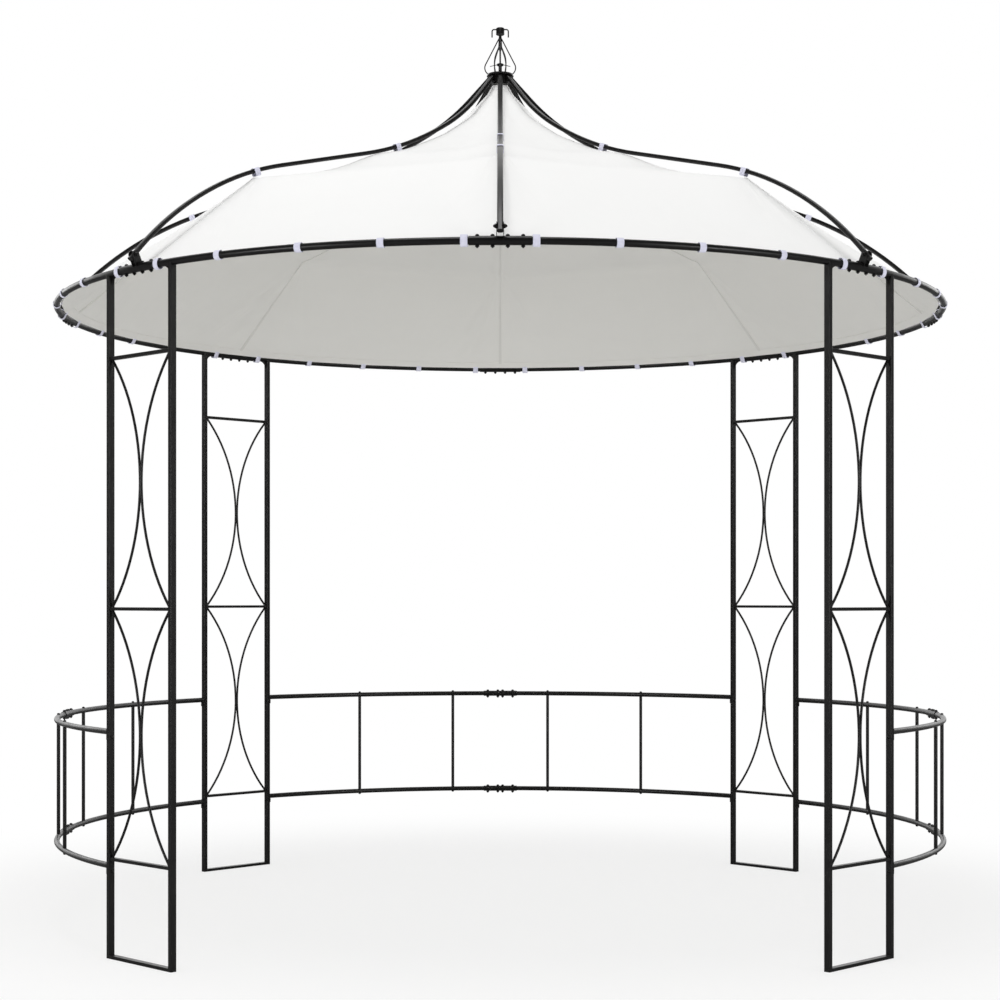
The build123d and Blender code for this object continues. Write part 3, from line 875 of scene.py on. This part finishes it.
class GAZEBO_OT_fasteners(Operator):
    """Bolts the ring, the ribs and the railings together"""

    bl_idname = "gazebo.fasteners"
    bl_label = "Fasteners"

    def execute(self, context):
        sizes = context.scene.gazebo_sizes
        finish = finish_named("Blackened steel")
        ring, height = sizes.ring_radius, sizes.ring_height
        rails = (sizes.top_rail, sizes.bottom_rail)
        places = [
            at_bay(bay, ring, height, along / ring) for bay in range(BAYS) for along in RING_BOLTS
        ]
        set_out(self.joint_bolt(RING_SLEEVE), places, "ring_joint_bolts", finish)
        places = [
            at_bay(bay, ring, level, along / ring)
            for bay in RAILED_BAYS for level in rails for along in RAIL_BOLTS
        ]
        set_out(self.joint_bolt(RAIL_SLEEVE), places, "rail_joint_bolts", finish)
        places = [at_bay(bay, ring + FORK_LEAN, height + FORK_RISE) for bay in range(BAYS)]
        set_out(self.fork_bolt(), places, "fork_bolts", finish)
        places = []
        flip = Matrix.Rotation(math.pi, 4, "X")
        for bay in RAILED_BAYS:
            for step in BALUSTERS:
                turn = step * sizes.baluster_step
                places.append(at_bay(bay, ring, sizes.top_rail + sizes.rail_radius, turn))
                places.append(at_bay(bay, ring, sizes.bottom_rail - sizes.rail_radius, turn) @ flip)
        set_out(self.screw_head("baluster_screw"), places, "baluster_screws", finish)
        places = []
        for bay in RAILED_BAYS:
            for side in (-1, 1):
                column = round_axis(math.radians(BAY_DEGREES * (bay - side)))
                for level in rails:
                    for x, facing in ((TAB_FACE, side), (POST_FACE, -side)):
                        spot = Matrix.Translation((side * x, -sizes.column_radius, level - TAB_DROP))
                        places.append(column @ spot @ Matrix.Rotation(facing * math.pi / 2, 4, "Y"))
        set_out(self.screw_head("tab_bolt"), places, "rail_tab_bolts", finish)
        return {"FINISHED"}

    def screw_head(self, name):
        """Low dome head that stands on a face."""
        profile = (
            (0, -0.001), (0.0052, -0.001), (0.0052, 0.0012),
            (0.0044, 0.0030), (0.0022, 0.0042), (0, 0.0046),
        )
        return smooth(turned(profile, 12, name))

    def joint_bolt(self, reach):
        """Dome head on top of a sleeve, nut and thread end below it."""
        top, foot = reach, -reach
        head = turned((
            (0, top - 0.003), (0.0058, top - 0.003), (0.0058, top + 0.0010),
            (0.0050, top + 0.0030), (0.0030, top + 0.0046), (0, top + 0.0050),
        ), 12, "bolt_head")
        nut = turned((
            (0, foot + 0.003), (0.0056, foot + 0.003), (0.0056, foot - 0.0042),
            (0.0047, foot - 0.0050), (0, foot - 0.0050),
        ), 6, "bolt_nut")
        thread = turned((
            (0, foot), (0.0027, foot), (0.0027, foot - 0.0068),
            (0.0020, foot - 0.0075), (0, foot - 0.0075),
        ), 10, "bolt_thread")
        return smooth(join_meshes([(head, STILL), (nut, STILL), (thread, STILL)], "joint_bolt"))

    def fork_bolt(self):
        """Cross bolt through the fork: a dome nut on each cheek."""
        cheek = 0.0105
        profile = (
            (0, cheek - 0.002), (0.0065, cheek - 0.002), (0.0065, cheek + 0.0030), (0.0050, cheek + 0.0046),
            (0.0036, cheek + 0.0072), (0.0018, cheek + 0.0088), (0, cheek + 0.0092),
        )
        nuts = [
            (turned(profile, 12, "fork_nut"), Matrix.Rotation(side * math.pi / 2, 4, "Y")) for side in (1, -1)
        ]
        return smooth(join_meshes(nuts, "fork_bolt"))


class GAZEBO_OT_studio(Operator):
    """Sets the pale floor, soft light and camera"""

    bl_idname = "gazebo.studio"
    bl_label = "Studio"

    def execute(self, context):
        scene = context.scene
        scene.view_settings.view_transform = "Standard"
        self.world(scene)
        self.floor()
        # the pairs stand where the highlights along the eaves tube in the photo come from
        for name, place, aim, power, size in (
            ("overhead_softbox", (-0.5, -1.8, 7.5), (0, 0, 1), 134.0, 3.0),
            ("right_softbox", (5.4, -5.0, 1.7), (0, 0, 1.8), 112.0, 2.4),
            ("left_softbox", (-5.4, -5.0, 1.7), (0, 0, 1.8), 112.0, 2.4),
            ("back_right_softbox", (5.6, 4.2, 3.4), (0, 0, 1.8), 45.0, 2.6),
            ("back_left_softbox", (-5.6, 4.2, 3.4), (0, 0, 1.8), 45.0, 2.6),
        ):
            data = bpy.data.lights.new(name, "AREA")
            data.energy = power
            data.shape = "DISK"
            data.size = size
            lamp = bpy.data.objects.new(name, data)
            lamp.location = place
            lamp.rotation_euler = (Vector(aim) - Vector(place)).to_track_quat("-Z", "Y").to_euler()
            scene.collection.objects.link(lamp)
        data = bpy.data.cameras.new("camera")
        data.sensor_width = 36.0
        data.lens = 71.456
        data.shift_x = -0.0002
        data.shift_y = 0.0997
        camera = bpy.data.objects.new("camera", data)
        camera.location = (0, -6.832, 1.064)
        camera.rotation_euler = (math.pi / 2, 0, 0)
        scene.collection.objects.link(camera)
        scene.camera = camera
        return {"FINISHED"}

    def world(self, scene):
        """White to the eye and dimmer as light; reflections see a bright backdrop behind and dark sides."""
        world = bpy.data.worlds.new("Studio")
        world.use_nodes = True
        tree = world.node_tree
        tree.nodes.clear()
        path = node(tree, "ShaderNodeLightPath")
        plain = node(
            tree, "ShaderNodeMath",
            {0: path.outputs["Is Camera Ray"], 1: path.outputs["Is Transmission Ray"]}, operation="MAXIMUM",
        )
        heading = node(
            tree, "ShaderNodeSeparateXYZ", {"Vector": node(tree, "ShaderNodeTexCoord").outputs["Generated"]}
        )
        backdrop = node(
            tree, "ShaderNodeMapRange",
            {"Value": heading.outputs["Y"], "From Min": 0.28, "From Max": 0.6, "To Min": 0.05, "To Max": 1.3},
            interpolation_type="SMOOTHSTEP",
        )
        dim = node(
            tree, "ShaderNodeMix", {0: path.outputs["Is Glossy Ray"], 2: 0.5, 3: backdrop.outputs["Result"]}
        )
        level = node(tree, "ShaderNodeMix", {0: plain.outputs["Value"], 2: dim.outputs[0], 3: 1.0})
        light = node(tree, "ShaderNodeBackground", {"Color": (1, 1, 1, 1), "Strength": level.outputs[0]})
        node(tree, "ShaderNodeOutputWorld", {"Surface": light.outputs["Background"]})
        scene.world = world

    def floor(self):
        """Pale matt floor that fades to white away from the gazebo and is dimmer in reflections."""
        material, tree, shader = new_material("Pale floor")
        place = node(tree, "ShaderNodeTexCoord").outputs["Object"]
        away = node(tree, "ShaderNodeVectorMath", {0: place}, operation="LENGTH")
        fade = node(
            tree, "ShaderNodeMapRange",
            {"Value": away.outputs["Value"], "From Min": 1.5, "From Max": 3.2, "To Min": 0.7, "To Max": 1.0},
            interpolation_type="SMOOTHSTEP",
        )
        path = node(tree, "ShaderNodeLightPath")
        tone = blend(tree, path.outputs["Is Glossy Ray"], linear("#fafaf9"), linear("#909090"))
        feed(tree, shader, {"Base Color": tone, "Roughness": 0.9, "Specular IOR Level": 0.1})
        seen = node(
            tree, "ShaderNodeMath",
            {0: fade.outputs["Result"], 1: path.outputs["Is Camera Ray"]}, operation="MULTIPLY",
        )
        white = node(tree, "ShaderNodeEmission", {"Color": (1, 1, 1, 1), "Strength": 1.0})
        mix = node(
            tree, "ShaderNodeMixShader",
            {0: seen.outputs["Value"], 1: shader.outputs["BSDF"], 2: white.outputs["Emission"]},
        )
        output = next(n for n in tree.nodes if n.type == "OUTPUT_MATERIAL")
        tree.links.new(mix.outputs["Shader"], output.inputs["Surface"])
        mesh = bpy.data.meshes.new("studio_floor")
        reach = 30
        corners = [(-reach, -reach, 0), (reach, -reach, 0), (reach, reach, 0), (-reach, reach, 0)]
        mesh.from_pydata(corners, [], [(0, 1, 2, 3)])
        keep(mesh, "studio_floor", material)


class GAZEBO_PT_tools(Panel):
    """Lists the gazebo's operators"""

    bl_idname = "GAZEBO_PT_tools"
    bl_label = "Gazebo"
    bl_space_type = "VIEW_3D"
    bl_region_type = "UI"
    bl_category = "Gazebo"

    def draw(self, context):
        for group in (context.scene.gazebo_sizes, context.scene.gazebo_colours):
            for name in group.__annotations__:
                self.layout.prop(group, name)
        for operator in OPERATORS:
            self.layout.operator(operator.bl_idname)


OPERATORS = (
    GAZEBO_OT_finishes,
    GAZEBO_OT_canopy,
    GAZEBO_OT_straps,
    GAZEBO_OT_fasteners,
    GAZEBO_OT_studio,
)
CLASSES = (GazeboSizes, GazeboColours, *OPERATORS, GAZEBO_PT_tools)


def register():
    """Registers the classes and their settings."""
    for cls in CLASSES:
        bpy.utils.register_class(cls)
    bpy.types.Scene.gazebo_sizes = PointerProperty(type=GazeboSizes)
    bpy.types.Scene.gazebo_colours = PointerProperty(type=GazeboColours)


def unregister():
    """Takes the classes and their settings away again."""
    del bpy.types.Scene.gazebo_colours
    del bpy.types.Scene.gazebo_sizes
    for cls in reversed(CLASSES):
        bpy.utils.unregister_class(cls)


def main():
    """Builds every piece in order."""
    register()
    bpy.ops.gazebo.finishes()
    bpy.ops.gazebo.canopy()
    bpy.ops.gazebo.straps()
    bpy.ops.gazebo.fasteners()
    bpy.ops.gazebo.studio()


if __name__ == "__main__":
    main()
